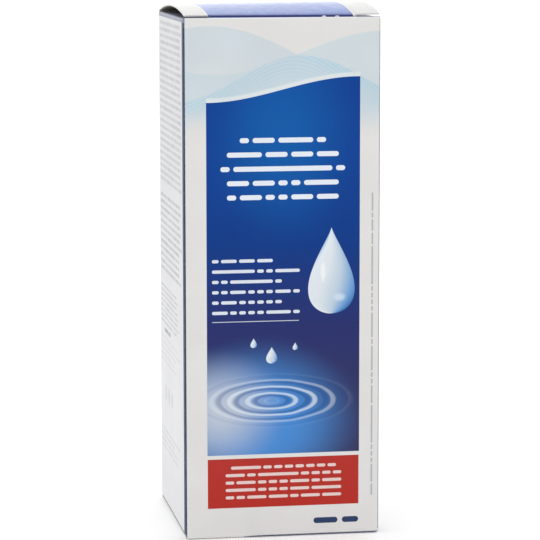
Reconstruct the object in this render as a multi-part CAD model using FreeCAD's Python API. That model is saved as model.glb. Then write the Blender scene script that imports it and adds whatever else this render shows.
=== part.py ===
"""Folding carton with a lens-solution bottle inside.

Millimetres, +Z up. The printed front panel faces -Y, the back is +Y, +X is to
the right of somebody looking at the front. Z = 0 is the plane the carton
stands on, and X = Y = 0 is the middle of the footprint.
"""

import math
import os

import FreeCAD
import Part

# ---------------------------------------------------------------- dimensions
# carton
W = 70.2  # outer width
D = 70.2  # outer depth
H = 186.7  # height of the back wall, up to the lid's fold
FRONT_DROP = 0.7  # the front wall ends this far below the lid's fold
T = 0.5  # board thickness
R_OUT = 0.8  # outer radius of a folded crease
R_IN = R_OUT - T  # inner radius of a folded crease
TOP_DUST_DROP = 1.0  # top dust-flap fold below the lid's fold
BOTTOM_DUST_DROP = 1.0  # bottom dust-flap fold above the base
FOLD_GAP = 0.2  # tuck fold to the wall it slides behind

# end closures
LID_HALF = 34.75  # half width of a lid
TUCK_HALF = 26.2  # half width of a tuck flap at its fold
BOW_DEG = 11.6  # slope of the bowed top lid where it leaves its folds
TOP_TUCK_LEN = 13.0
TOP_TUCK_LEAN = 10.0  # degrees inward
BOTTOM_TUCK_LEN = 11.0
BOTTOM_TUCK_LEAN = 8.0
TUCK_CORNER = 6.0
DUST_LEN = 19.6  # from the fold to the tip
DUST_TAPER = 0.9  # side cut per unit of length, on the lid's hinge side
DUST_CORNER = 3.0

# glue seam
GLUE_WIDE = 13.0
GLUE_Z0 = 9.0
GLUE_Z1 = 177.0

# bottle
Z_BASE = 1.75  # underside of the bottle
BODY_A = 33.2  # half width
BODY_B = 29.6  # half depth
BODY_N = 2.3  # squareness of the oval
WALL = 1.0
HEEL = 7.0  # height of the rounded heel
PUSH_UP = 2.2  # hollow under the base
Z_SHOULDER = 127.0  # end of the straight side
Z_COLLAR = 144.0  # top of the shoulder
COLLAR_R = 13.6
NECK_R = 11.0
BORE_R = 8.4
Z_RIM = 159.0
PITCH = 3.0
THREAD_CREST = 12.1
THREAD_Z0 = 149.6  # middle of the neck thread where it begins
THREAD_TURNS = 2.25
BEAD_R = 12.0
BEAD_Z0 = 146.2
BEAD_Z1 = 147.4
FILL_ML = 360.0
FILL_GAP = 0.05

# dropper insert
FLANGE_R = 10.2
FLANGE_T = 1.2
PLUG_R = 8.36
PLUG_LEN = 7.0
Z_TIP = 172.6
SPOUT_R = 2.3
ORIFICE_R = 0.65

# screw cap and tamper band
CAP_Z0 = 148.6
CAP_Z1 = 175.8
CAP_IN = 12.6
CAP_ROOT = 13.7
CAP_RIB = 14.15
CAP_RIBS = 48
CAP_TOP_R = 10.9
CAP_TOP_T = 1.3
CAP_CREST = 11.5
BAND_Z0 = 144.35
BAND_Z1 = 148.1
BAND_IN = 12.35
BAND_SNAP = 11.35
BRIDGES = 8

# labels on the bottle
LABEL_HALF = 27.0
LABEL_Z0 = 22.0
LABEL_Z1 = 112.0
LABEL_T = 0.10
LABEL_GAP = 0.02

# folded leaflet
LEAF_HALF = 22.0
LEAF_Z0 = 1.9
LEAF_Z1 = 126.0
LEAF_PANELS = 6
LEAF_T = 0.14
LEAF_STEP = 0.22

# ---------------------------------------------------------------- helpers
V = FreeCAD.Vector
HW, HD = W / 2, D / 2
IN_X, IN_Y = HW - T, HD - T


def at(c, r, deg):
    """Point at an angle and radius from a centre, in a 2-D plane."""
    a = math.radians(deg)
    return (c[0] + r * math.cos(a), c[1] + r * math.sin(a))


def arc_points(c, r, a0, a1):
    return at(c, r, (a0 + a1) / 2), at(c, r, a1)


def profile(start, steps, place):
    """Face from a start point and a list of lines and arcs."""
    edges, here = [], start
    for step in steps:
        if len(step) == 1:
            end = step[0]
            edges.append(Part.makeLine(place(*here), place(*end)))
        else:
            mid, end = step
            edges.append(Part.Arc(place(*here), place(*mid), place(*end)).toShape())
        here = end
    return Part.Face(Part.Wire(edges))


def along_x(start, steps, x0, x1):
    f = profile(start, steps, lambda y, z: V(x0, y, z))
    return f.extrude(V(x1 - x0, 0, 0))


def along_y(start, steps, y0, y1):
    f = profile(start, steps, lambda x, z: V(x, y0, z))
    return f.extrude(V(0, y1 - y0, 0))


def along_z(start, steps, z0, z1):
    f = profile(start, steps, lambda x, y: V(x, y, z0))
    return f.extrude(V(0, 0, z1 - z0))


def polygon(points):
    return points[0], [(p,) for p in points[1:]] + [(points[0],)]


def block(x0, y0, z0, x1, y1, z1):
    return Part.makeBox(x1 - x0, y1 - y0, z1 - z0, V(x0, y0, z0))


def mirror_x(shape):
    return shape.mirror(V(0, 0, 0), V(1, 0, 0))


def turned(points):
    """Solid of revolution about Z from (radius, z) points."""
    wire = Part.makePolygon([V(r, 0, z) for r, z in points + points[:1]])
    return Part.Face(wire).revolve(V(0, 0, 0), V(0, 0, 1), 360)


def fused(shapes):
    out = shapes[0].fuse(shapes[1:])
    return out.removeSplitter()


def rounded_rect(x, y, r, z0, z1):
    """Upright prism with rounded corners, of half sizes x and y."""
    c = [(x - r, y - r), (-x + r, y - r), (-x + r, -y + r), (x - r, -y + r)]
    start = at(c[0], r, 0)
    steps = []
    for i, k in enumerate(c):
        steps.append(arc_points(k, r, 90 * i, 90 * i + 90))
        nxt = c[(i + 1) % 4]
        steps.append((at(nxt, r, 90 * i + 90),))
    return along_z(start, steps, z0, z1)


# ---------------------------------------------------------------- carton walls
sleeve = rounded_rect(HW, HD, R_OUT, 0, H).cut(rounded_rect(IN_X, IN_Y, R_IN, -1, H + 1))

# the corner folds divide the sleeve on the line from outer to inner corner
def wedge(a, b):
    """Prism between two corner lines, from the sleeve's middle outward."""
    inside = 20.0  # the corner lines run at 45 degrees
    pts = []
    for sx, sy in (a, b):
        pts.append((sx * (HW - inside), sy * (HD - inside)))
        pts.append((sx * (HW + inside), sy * (HD + inside)))
    order = [pts[0], pts[1], pts[3], pts[2]]
    return along_z(*polygon(order), -2, H + 2)


zone_front = wedge((-1, -1), (1, -1))
zone_right = wedge((1, -1), (1, 1))
zone_back = wedge((1, 1), (-1, 1))
zone_left = wedge((-1, 1), (-1, -1))

# front: cut edge at the top, fold to the bottom lid at its foot
Z_FRONT = H - FRONT_DROP
c_front = (-HD + R_OUT, R_OUT)
front_cut = along_x(
    at(c_front, R_OUT, 180),
    [
        arc_points(c_front, R_OUT, 180, 225),
        (at(c_front, R_IN, 225),),
        arc_points(c_front, R_IN, 225, 180),
        ((-HD + T, Z_FRONT),),
        ((-HD, Z_FRONT),),
        (at(c_front, R_OUT, 180),),
    ],
    -HW,
    HW,
)
# the rounded corners of the sleeve reach a little deeper than one board
front_slab = fused(
    [
        front_cut,
        along_x(*polygon([(-HD + T, 2.0), (-HD + 3, 2.0), (-HD + 3, Z_FRONT), (-HD + T, Z_FRONT)]), -HW, HW),
    ]
)
front_panel = sleeve.common(zone_front).common(front_slab)

# back: fold to the top lid, cut edge at its foot
c_back = (HD - R_OUT, H - R_OUT)
back_cut = along_x(
    (HD, 0.0),
    [
        (at(c_back, R_OUT, 0),),
        arc_points(c_back, R_OUT, 0, 45),
        (at(c_back, R_IN, 45),),
        arc_points(c_back, R_IN, 45, 0),
        ((HD - T, 0.0),),
        ((HD, 0.0),),
    ],
    -HW,
    HW,
)
back_slab = fused(
    [
        back_cut,
        along_x(*polygon([(HD - 3, 0), (HD - T, 0), (HD - T, H - 2), (HD - 3, H - 2)]), -HW, HW),
    ]
)
back_panel = sleeve.common(zone_back).common(back_slab)

# right and left: folds to the dust flaps at both ends
Z_DT = H - TOP_DUST_DROP  # outer face of the top dust flaps
Z_DB = BOTTOM_DUST_DROP  # outer face of the bottom dust flaps
c_rt = (HW - R_OUT, Z_DT - R_OUT)
c_rb = (HW - R_OUT, Z_DB + R_OUT)
right_cut = along_y(
    at(c_rb, R_OUT, 0),
    [
        (at(c_rt, R_OUT, 0),),
        arc_points(c_rt, R_OUT, 0, 45),
        (at(c_rt, R_IN, 45),),
        arc_points(c_rt, R_IN, 45, 0),
        (at(c_rb, R_IN, 0),),
        arc_points(c_rb, R_IN, 0, -45),
        (at(c_rb, R_OUT, -45),),
        arc_points(c_rb, R_OUT, -45, 0),
    ],
    -HD,
    HD,
)
right_slab = fused(
    [
        right_cut,
        along_y(
            *polygon([(HW - 3, Z_DB + 2), (HW - T, Z_DB + 2), (HW - T, Z_DT - 2), (HW - 3, Z_DT - 2)]),
            -HD,
            HD,
        ),
    ]
)
right_panel = sleeve.common(zone_right).common(right_slab)
left_panel = mirror_x(right_panel)

# glue flap: folded from the back panel and stuck inside the right panel
glue_y1 = IN_Y - 0.35
glue_flap = along_x(
    *polygon(
        [
            (glue_y1, GLUE_Z0),
            (glue_y1, GLUE_Z1),
            (glue_y1 - GLUE_WIDE, GLUE_Z1 - 6.0),
            (glue_y1 - GLUE_WIDE, GLUE_Z0 + 6.0),
        ]
    ),
    IN_X - T,
    IN_X,
)

# ---------------------------------------------------------------- top closure
c_lid_b = c_back
c_lid_f = (-IN_Y + FOLD_GAP + R_OUT, H - R_OUT)
back_deg = 90 - BOW_DEG
front_deg = 90 + BOW_DEG
s_back = at(c_lid_b, R_OUT, back_deg)
s_front = at(c_lid_f, R_OUT, front_deg)
chord = s_back[0] - s_front[0]
bow_r = chord / (2 * math.sin(math.radians(BOW_DEG)))
c_bow = ((s_back[0] + s_front[0]) / 2, s_back[1] - bow_r * math.cos(math.radians(BOW_DEG)))

top_end_deg = 180 + TOP_TUCK_LEAN
top_mid_deg = (front_deg + top_end_deg) / 2

lid_start = at(c_lid_b, R_OUT, 45)
lid_outer = [
    arc_points(c_lid_b, R_OUT, 45, back_deg),
    arc_points(c_bow, bow_r, back_deg, front_deg),
]
lid_inner = [
    arc_points(c_lid_b, R_IN, back_deg, 45),
    (lid_start,),
]
lid_middle = along_x(
    lid_start,
    lid_outer
    + [
        arc_points(c_lid_f, R_OUT, front_deg, top_mid_deg),
        (at(c_lid_f, R_IN, top_mid_deg),),
        arc_points(c_lid_f, R_IN, top_mid_deg, front_deg),
        arc_points(c_bow, bow_r - T, front_deg, back_deg),
    ]
    + lid_inner,
    -TUCK_HALF,
    TUCK_HALF,
)
# beside the tuck flap the lid ends in a straight cut, behind the front wall
shoulder_deg = front_deg + math.degrees(0.5 / bow_r)
lid_full = along_x(
    lid_start,
    [
        lid_outer[0],
        arc_points(c_bow, bow_r, back_deg, shoulder_deg),
        (at(c_bow, bow_r - T, shoulder_deg),),
        arc_points(c_bow, bow_r - T, shoulder_deg, back_deg),
    ]
    + lid_inner,
    -LID_HALF,
    LID_HALF,
)
lid_ends = lid_full.cut(block(-TUCK_HALF, -HD - 5, 0, TUCK_HALF, HD + 5, H + 20))
top_lid = fused([lid_middle] + lid_ends.Solids)


def tuck_flap(centre, a0, a1, length, half):
    """Flap from the middle of its fold at a0 to its free edge, leaving the fold at a1."""
    ang = math.radians(a1)
    out = (math.cos(ang), math.sin(ang))
    run = (-out[1], out[0])
    q_out, q_in = at(centre, R_OUT, a1), at(centre, R_IN, a1)
    tip_out = (q_out[0] + run[0] * length, q_out[1] + run[1] * length)
    tip_in = (q_in[0] + run[0] * length, q_in[1] + run[1] * length)
    solid = along_x(
        at(centre, R_OUT, a0),
        [
            arc_points(centre, R_OUT, a0, a1),
            (tip_out,),
            (tip_in,),
            (q_in,),
            arc_points(centre, R_IN, a1, a0),
            (at(centre, R_OUT, a0),),
        ],
        -half,
        half,
    )
    corners = []
    for e in solid.Edges:
        m = e.CenterOfMass
        mid = ((tip_out[0] + tip_in[0]) / 2, (tip_out[1] + tip_in[1]) / 2)
        if abs(abs(m.x) - half) < 1e-6 and math.hypot(m.y - mid[0], m.z - mid[1]) < 1e-3:
            corners.append(e)
    return solid.makeFillet(TUCK_CORNER, corners)


top_tuck = tuck_flap(c_lid_f, top_mid_deg, top_end_deg, TOP_TUCK_LEN, TUCK_HALF)


def dust_outline(sign):
    """Plan of a right-hand dust flap. sign +1 tapers the back edge, -1 the front edge."""
    hinge, tip = HW + 1.0, HW - DUST_LEN
    lock = HW - 8.2
    wide = IN_Y - 0.5
    cut_from = HW - 1.6
    end = wide - DUST_TAPER * (cut_from - tip)
    k = DUST_CORNER
    d = math.hypot(1.0, DUST_TAPER)
    ux, uy = 1.0 / d, DUST_TAPER / d
    pts = [
        (hinge, -wide),
        (lock, -wide),
        (lock, -wide + 2.0),
        (tip + k, -wide + 2.0),
    ]
    start = (hinge, -wide)
    steps = [(p,) for p in pts[1:]]
    c1 = (tip + k, -wide + 2.0 + k)
    steps.append((at(c1, k, 225), at(c1, k, 180)))
    steps.append(((tip, end - k),))
    steps.append(((tip + ux * k, end + uy * k),))
    steps.append(((cut_from, wide),))
    steps.append(((hinge, wide),))
    steps.append((start,))
    if sign < 0:
        start = (start[0], -start[1])
        steps = [tuple((p[0], -p[1]) for p in s) for s in steps]
    return start, steps


def dust_flap(centre, a0, a1, top, sign):
    """Right-hand dust flap: half of its fold, then a flat blade."""
    z_out = centre[1] + (R_OUT if top else -R_OUT)
    z_in = centre[1] + (R_IN if top else -R_IN)
    solid = along_y(
        at(centre, R_OUT, a0),
        [
            arc_points(centre, R_OUT, a0, a1),
            ((HW - DUST_LEN - 1, z_out),),
            ((HW - DUST_LEN - 1, z_in),),
            (at(centre, R_IN, a1),),
            arc_points(centre, R_IN, a1, a0),
            (at(centre, R_OUT, a0),),
        ],
        -HD,
        HD,
    )
    start, steps = dust_outline(sign)
    return solid.common(along_z(start, steps, centre[1] - 3, centre[1] + 3))


top_right_dust = dust_flap(c_rt, 45, 90, True, 1)
top_left_dust = mirror_x(top_right_dust)

# ---------------------------------------------------------------- bottom closure
c_bot_b = (IN_Y - FOLD_GAP - R_OUT, R_OUT)
bottom_end_deg = 360 + BOTTOM_TUCK_LEAN
bottom_mid_deg = (270 + bottom_end_deg) / 2
bot_start = at(c_front, R_OUT, 225)
bottom_middle = along_x(
    bot_start,
    [
        arc_points(c_front, R_OUT, 225, 270),
        (at(c_bot_b, R_OUT, 270),),
        arc_points(c_bot_b, R_OUT, 270, bottom_mid_deg),
        (at(c_bot_b, R_IN, bottom_mid_deg),),
        arc_points(c_bot_b, R_IN, bottom_mid_deg, 270),
        (at(c_front, R_IN, 270),),
        arc_points(c_front, R_IN, 270, 225),
        (bot_start,),
    ],
    -TUCK_HALF,
    TUCK_HALF,
)
bottom_full = along_x(
    bot_start,
    [
        arc_points(c_front, R_OUT, 225, 270),
        ((c_bot_b[0] + 0.55, 0.0),),
        ((c_bot_b[0] + 0.55, T),),
        (at(c_front, R_IN, 270),),
        arc_points(c_front, R_IN, 270, 225),
        (bot_start,),
    ],
    -LID_HALF,
    LID_HALF,
)
bottom_ends = bottom_full.cut(block(-TUCK_HALF, -HD - 5, -5, TUCK_HALF, HD + 5, 10))
bottom_lid = fused([bottom_middle] + bottom_ends.Solids)
bottom_tuck = tuck_flap(c_bot_b, bottom_mid_deg, bottom_end_deg, BOTTOM_TUCK_LEN, TUCK_HALF)
bottom_right_dust = dust_flap(c_rb, -45, -90, False, -1)
bottom_left_dust = mirror_x(bottom_right_dust)

# ---------------------------------------------------------------- bottle
SPANS = 48


def oval(a, b, n, z):
    """Closed smooth oval of half sizes a and b; n = 2 is an ellipse."""
    pts = []
    for i in range(SPANS):
        t = 2 * math.pi * i / SPANS
        c, s = abs(math.cos(t)), abs(math.sin(t))
        r = ((c / a) ** n + (s / b) ** n) ** (-1.0 / n)
        pts.append(V(r * math.cos(t), r * math.sin(t), z))
    curve = Part.BSplineCurve()
    curve.interpolate(pts, PeriodicFlag=True)
    return Part.Wire([curve.toShape()])


def shoulder_size(s, inset):
    """Half sizes and squareness on the way from the side (s = 0) to the collar (s = 1)."""
    g = math.cos(s * math.pi / 2) ** 0.75
    end = COLLAR_R if inset == 0 else BORE_R - 0.2
    a = end + (BODY_A - inset - end) * g
    b = end + (BODY_B - inset - end) * g
    return a, b, 2.0 + (BODY_N - 2.0) * g


def heel_size(s, inset):
    """Half sizes on the way from the foot (s = 0) to the side (s = 1)."""
    g = 4.6 * (1 - math.sqrt(max(0.0, 1 - (1 - s) ** 2)))
    return BODY_A - g - inset, BODY_B - g - inset


def vessel(inset, z_low):
    """Outside of the bottle up to the collar, or its cavity if inset is the wall."""
    z_heel = Z_BASE + HEEL
    prism = Part.Face(oval(BODY_A - inset, BODY_B - inset, BODY_N, z_heel)).extrude(
        V(0, 0, Z_SHOULDER - z_heel)
    )
    rise = Z_COLLAR - Z_SHOULDER - 1.3 * inset
    top = []
    for s in (0.0, 0.12, 0.25, 0.4, 0.55, 0.7, 0.82, 0.92, 1.0):
        a, b, n = shoulder_size(s, inset)
        top.append(oval(a, b, n, Z_SHOULDER + rise * s))
    low = []
    for s in (0.0, 0.12, 0.3, 0.55, 0.8, 1.0):
        a, b = heel_size(s, inset)
        low.append(oval(a, b, BODY_N, z_low + (z_heel - z_low) * s))
    return fused([prism, Part.makeLoft(top, True, False), Part.makeLoft(low, True, False)])


def thread(radius, crest, turns, z_mid, root_half, crest_half, root_sink, start_deg):
    """Helical ridge on a cylinder. crest above radius is an outside thread, below it an inside one."""
    helix = Part.makeHelix(PITCH, PITCH * turns, radius)
    sink = radius - root_sink if crest > radius else radius + root_sink
    section = Part.makePolygon(
        [
            V(sink, 0, -root_half),
            V(crest, 0, -crest_half),
            V(crest, 0, crest_half),
            V(sink, 0, root_half),
            V(sink, 0, -root_half),
        ]
    )
    ridge = Part.Wire(helix.Edges).makePipeShell([section], True, True)
    ridge.rotate(V(0, 0, 0), V(0, 0, 1), start_deg)
    ridge.translate(V(0, 0, z_mid))
    return ridge


outside = vessel(0.0, Z_BASE)
foot = Part.makeSphere(260.0, V(0, 0, Z_BASE + PUSH_UP - 260.0))
foot = foot.common(Part.Face(oval(BODY_A - 8.5, BODY_B - 8.5, BODY_N, -5)).extrude(V(0, 0, 20)))
cavity = vessel(WALL, Z_BASE + PUSH_UP + 1.1)
neck = turned(
    [
        (0, Z_COLLAR - 0.6),
        (NECK_R, Z_COLLAR - 0.6),
        (NECK_R, BEAD_Z0),
        (BEAD_R, BEAD_Z0 + 0.1),
        (BEAD_R, BEAD_Z0 + 0.5),
        (NECK_R, BEAD_Z1),
        (NECK_R, Z_RIM - 0.4),
        (NECK_R - 0.4, Z_RIM),
        (0, Z_RIM),
    ]
)
bore = Part.makeCylinder(BORE_R, Z_RIM - Z_COLLAR + 8, V(0, 0, Z_COLLAR - 7))
neck_thread = thread(NECK_R, THREAD_CREST, THREAD_TURNS, THREAD_Z0, 0.78, 0.32, 0.25, 0)
shell = outside.cut(cavity).cut(foot)
bottle_body = fused([shell, neck]).cut(bore)
bottle_body = bottle_body.fuse(neck_thread)

# the liquid, up to the level that holds the stated volume
liquid_full = vessel(WALL + FILL_GAP, Z_BASE + PUSH_UP + 1.1 + FILL_GAP)
low, high = Z_SHOULDER - 30, Z_COLLAR
for _ in range(14):
    level = (low + high) / 2
    held = liquid_full.common(block(-50, -50, 0, 50, 50, level)).Volume / 1000
    low, high = (level, high) if held < FILL_ML else (low, level)
solution = liquid_full.common(block(-50, -50, 0, 50, 50, level))

# labels follow the straight side of the bottle, one in front and one behind
ring = (
    Part.Face(oval(BODY_A + LABEL_GAP + LABEL_T, BODY_B + LABEL_GAP + LABEL_T, BODY_N, LABEL_Z0))
    .extrude(V(0, 0, LABEL_Z1 - LABEL_Z0))
    .cut(
        Part.Face(oval(BODY_A + LABEL_GAP, BODY_B + LABEL_GAP, BODY_N, LABEL_Z0 - 1)).extrude(
            V(0, 0, LABEL_Z1 - LABEL_Z0 + 2)
        )
    )
)


def label_patch(y0, y1):
    patch = block(-LABEL_HALF, y0, LABEL_Z0, LABEL_HALF, y1, LABEL_Z1)
    upright = [e for e in patch.Edges if abs(e.CenterOfMass.y - (y0 + y1) / 2) < 1e-6]
    return patch.makeFillet(4.0, upright)


front_label = ring.common(label_patch(-40, -5))
back_label = ring.common(label_patch(5, 40))

# ---------------------------------------------------------------- dropper insert
nozzle = turned(
    [
        (ORIFICE_R, Z_TIP),
        (SPOUT_R - 0.7, Z_TIP),
        (SPOUT_R - 0.15, Z_TIP - 0.45),
        (SPOUT_R, Z_TIP - 1.2),
        (SPOUT_R + 0.5, Z_TIP - 5.2),
        (4.6, Z_TIP - 6.4),
        (5.2, Z_TIP - 8.2),
        (8.0, Z_TIP - 9.2),
        (8.3, Z_RIM + FLANGE_T + 0.5),
        (8.3, Z_RIM + FLANGE_T),
        (FLANGE_R, Z_RIM + FLANGE_T),
        (FLANGE_R, Z_RIM),
        (PLUG_R, Z_RIM),
        (PLUG_R, Z_RIM - PLUG_LEN + 0.8),
        (PLUG_R - 0.5, Z_RIM - PLUG_LEN),
        (PLUG_R - 1.2, Z_RIM - PLUG_LEN),
        (PLUG_R - 1.2, Z_RIM + 1.4),
        (4.0, Z_RIM + 3.4),
        (2.4, Z_RIM + 5.8),
        (ORIFICE_R, Z_RIM + 9.0),
    ]
)

# ---------------------------------------------------------------- tamper band
band_parts = [
    turned(
        [
            (BAND_SNAP, BAND_Z0 + 0.2),
            (BAND_SNAP, BAND_Z0 + 0.9),
            (BAND_IN, BAND_Z0 + 1.6),
            (BAND_IN, BAND_Z1),
            (CAP_ROOT, BAND_Z1),
            (CAP_ROOT, BAND_Z0 + 0.25),
            (CAP_ROOT - 0.25, BAND_Z0),
            (BAND_SNAP + 0.3, BAND_Z0),
        ]
    )
]
for i in range(BRIDGES):
    nib = block(BAND_IN + 0.15, -0.45, BAND_Z1 - 0.2, CAP_ROOT - 0.25, 0.45, CAP_Z0 - 0.06)
    nib.rotate(V(0, 0, 0), V(0, 0, 1), 360.0 * i / BRIDGES + 22.5)
    band_parts.append(nib)
tamper_band = fused(band_parts)

# ---------------------------------------------------------------- screw cap
Z_SKIRT = 161.4  # top of the ribbed skirt
half_pitch = math.pi / CAP_RIBS
rim = []
for i in range(CAP_RIBS):
    a = 2 * math.pi * i / CAP_RIBS
    for da, r in (
        (-0.62, CAP_ROOT),
        (-0.38, CAP_RIB),
        (0.38, CAP_RIB),
        (0.62, CAP_ROOT),
    ):
        t = a + da * half_pitch
        rim.append((r * math.cos(t), r * math.sin(t)))
ribbed = along_z(*polygon(rim), CAP_Z0, Z_SKIRT)
ribbed = ribbed.common(
    turned(
        [
            (0, CAP_Z0),
            (CAP_RIB - 0.45, CAP_Z0),
            (CAP_RIB + 0.3, CAP_Z0 + 0.75),
            (CAP_RIB + 0.3, Z_SKIRT - 0.9),
            (CAP_ROOT - 0.4, Z_SKIRT),
            (0, Z_SKIRT),
        ]
    )
)
crown = turned(
    [
        (0, Z_SKIRT - 1.0),
        (CAP_ROOT - 0.45, Z_SKIRT - 1.0),
        (CAP_ROOT - 0.45, Z_SKIRT + 0.3),
        (CAP_ROOT - 0.75, Z_SKIRT + 1.4),
        (CAP_TOP_R + 0.25, CAP_Z1 - 2.2),
        (CAP_TOP_R - 0.15, CAP_Z1 - 0.95),
        (CAP_TOP_R - 0.7, CAP_Z1 - 0.3),
        (CAP_TOP_R - 1.5, CAP_Z1),
        (0, CAP_Z1),
    ]
)
hollow = turned(
    [
        (0, CAP_Z0 - 1),
        (CAP_IN + 0.3, CAP_Z0 - 1),
        (CAP_IN + 0.3, CAP_Z0),
        (CAP_IN, CAP_Z0 + 0.4),
        (CAP_IN, Z_SKIRT - 0.4),
        (CAP_IN - 0.8, Z_SKIRT + 0.6),
        (CAP_TOP_R - 1.0, CAP_Z1 - CAP_TOP_T - 0.8),
        (CAP_TOP_R - 1.8, CAP_Z1 - CAP_TOP_T),
        (0, CAP_Z1 - CAP_TOP_T),
    ]
)
pin = turned(
    [
        (0, CAP_Z1 - CAP_TOP_T + 0.2),
        (0.9, CAP_Z1 - CAP_TOP_T + 0.2),
        (0.48, Z_TIP + 0.4),
        (0.48, Z_TIP - 1.2),
        (0.25, Z_TIP - 1.7),
        (0, Z_TIP - 1.7),
    ]
)
cap_thread = thread(
    CAP_IN, CAP_CREST, THREAD_TURNS, THREAD_Z0 + PITCH / 2, 0.78, 0.32, 0.25, 0
)
screw_cap = fused([ribbed, crown]).cut(hollow).fuse([pin, cap_thread])

# ---------------------------------------------------------------- folded leaflet
# accordion fold seen from above: flat panels joined by turns at alternate sides
leaf_y0 = -IN_Y + 0.3
left_end, right_end = -LEAF_HALF, LEAF_HALF
path = []
for i in range(LEAF_PANELS):
    y = leaf_y0 + LEAF_T / 2 + i * LEAF_STEP
    ends = (left_end, right_end) if i % 2 == 0 else (right_end, left_end)
    path += [(ends[0], y), (ends[1], y)]
h = LEAF_T / 2
# the two lists are the two faces of the sheet; the upper and lower sides swap at each turn
side_a, side_b = [], []
for i, (x, y) in enumerate(path):
    panel = i // 2
    going = 1 if panel % 2 == 0 else -1
    left_of = (0, going * h)
    at_turn_end = i % 2 == 1 and i < len(path) - 1
    at_turn_start = i % 2 == 0 and i > 0
    push = 0.0
    if at_turn_end:
        push = going * h
    if at_turn_start:
        push = -going * h
    # at a turn the inside corner stays back and the outside corner runs past
    turn_left = (panel % 2 == 0) if at_turn_end else ((panel - 1) % 2 == 0)
    inside_a = turn_left
    if at_turn_end or at_turn_start:
        xa = x - push if inside_a else x + push
        xb = x + push if inside_a else x - push
    else:
        xa = xb = x
    side_a.append((xa, y + left_of[1]))
    side_b.append((xb, y - left_of[1]))
leaflet = along_z(*polygon(side_a + side_b[::-1]), LEAF_Z0, LEAF_Z1)

# ---------------------------------------------------------------- write
nodes = {
    "carton_front_panel": front_panel,
    "carton_back_panel": back_panel,
    "carton_left_panel": left_panel,
    "carton_right_panel": right_panel,
    "carton_glue_flap": glue_flap,
    "top_lid": top_lid,
    "top_tuck_flap": top_tuck,
    "top_left_dust_flap": top_left_dust,
    "top_right_dust_flap": top_right_dust,
    "bottom_lid": bottom_lid,
    "bottom_tuck_flap": bottom_tuck,
    "bottom_left_dust_flap": bottom_left_dust,
    "bottom_right_dust_flap": bottom_right_dust,
    "bottle_body": bottle_body,
    "dropper_insert": nozzle,
    "tamper_band": tamper_band,
    "screw_cap": screw_cap,
    "bottle_front_label": front_label,
    "bottle_back_label": back_label,
    "solution": solution,
    "leaflet": leaflet,
}

os.makedirs("parts", exist_ok=True)
for name, shape in nodes.items():
    solids = shape.Solids
    if len(solids) == 1:
        shape = solids[0]
    b = shape.BoundBox
    print(
        f"{name:24s} solids {len(solids)} valid {shape.isValid()} vol {shape.Volume:10.2f} "
        f"x {b.XMin:7.2f} {b.XMax:7.2f} y {b.YMin:7.2f} {b.YMax:7.2f} z {b.ZMin:7.2f} {b.ZMax:7.2f}"
    )
    shape.exportStep(os.path.join("parts", name + ".step"))
print("liquid level", round(level, 2), "tuck axes", s_front, "bow top", c_bow[1] + bow_r)
print("top tuck fold", c_lid_f, top_mid_deg, "bottom tuck fold", c_bot_b, bottom_mid_deg)
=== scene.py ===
"""Looks for a boxed lens-solution bottle: printed paperboard carton, bottle, cap, dropper, labels and leaflet."""

import math

import bmesh
import bpy
from mathutils import Matrix, Vector


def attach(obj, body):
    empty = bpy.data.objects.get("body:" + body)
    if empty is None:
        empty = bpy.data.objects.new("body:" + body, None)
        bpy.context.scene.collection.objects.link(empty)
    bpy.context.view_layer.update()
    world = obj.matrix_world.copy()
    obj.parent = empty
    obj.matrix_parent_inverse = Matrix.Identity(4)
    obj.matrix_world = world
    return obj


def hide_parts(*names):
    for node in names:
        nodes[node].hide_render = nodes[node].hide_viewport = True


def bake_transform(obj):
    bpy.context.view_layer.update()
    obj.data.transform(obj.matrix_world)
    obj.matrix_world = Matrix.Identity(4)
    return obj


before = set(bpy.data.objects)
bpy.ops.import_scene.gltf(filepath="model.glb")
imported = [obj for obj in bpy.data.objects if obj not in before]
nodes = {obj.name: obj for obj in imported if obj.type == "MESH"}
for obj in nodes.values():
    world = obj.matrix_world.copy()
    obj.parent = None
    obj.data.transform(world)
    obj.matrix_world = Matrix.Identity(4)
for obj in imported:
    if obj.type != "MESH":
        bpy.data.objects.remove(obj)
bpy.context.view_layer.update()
scene = bpy.context.scene

# ------------------------------------------------------------------ sizes, metres
MM = 0.001
W, D, H, T = 70.2, 70.2, 186.7, 0.5
Z_FRONT, Z_SIDE = 186.0, 185.7  # tops of the front wall and of the side walls
HW, HD = W / 2, D / 2

LIT = 0.94  # how bright the board's front is lit, so that colours read from a picture become surface colours


def lin(v):
    v /= 255.0
    return v / 12.92 if v <= 0.04045 else ((v + 0.055) / 1.055) ** 2.4


def ink(r, g, b, lit=LIT):
    return tuple(min(max(lin(v) - 0.011, 0.003) / lit, 0.95) for v in (r, g, b)) + (1.0,)


WHITE = ink(222, 221, 219)
PALE = ink(191, 208, 218)
NAVY = ink(50, 64, 90)
# the lid's unprinted white: the board's white painted darker, as painted shade
LID_WHITE_SHADED = ink(214, 213, 211)
# the side walls' white: the board's white painted lighter, as painted light
SIDE_WHITE_LIT = ink(225, 225, 227)
# pale blue-white for the strip below the front's cut edge: painted highlight
HIGHLIGHT_WHITE = ink(232, 234, 242)
RED = ink(174, 58, 53)
# the bare inside of the board: grey-back board, made darker still as painted shade for the lid's underside
RAW = (0.41, 0.385, 0.34, 1.0)
CORE = (0.84, 0.83, 0.81, 1.0)


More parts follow.
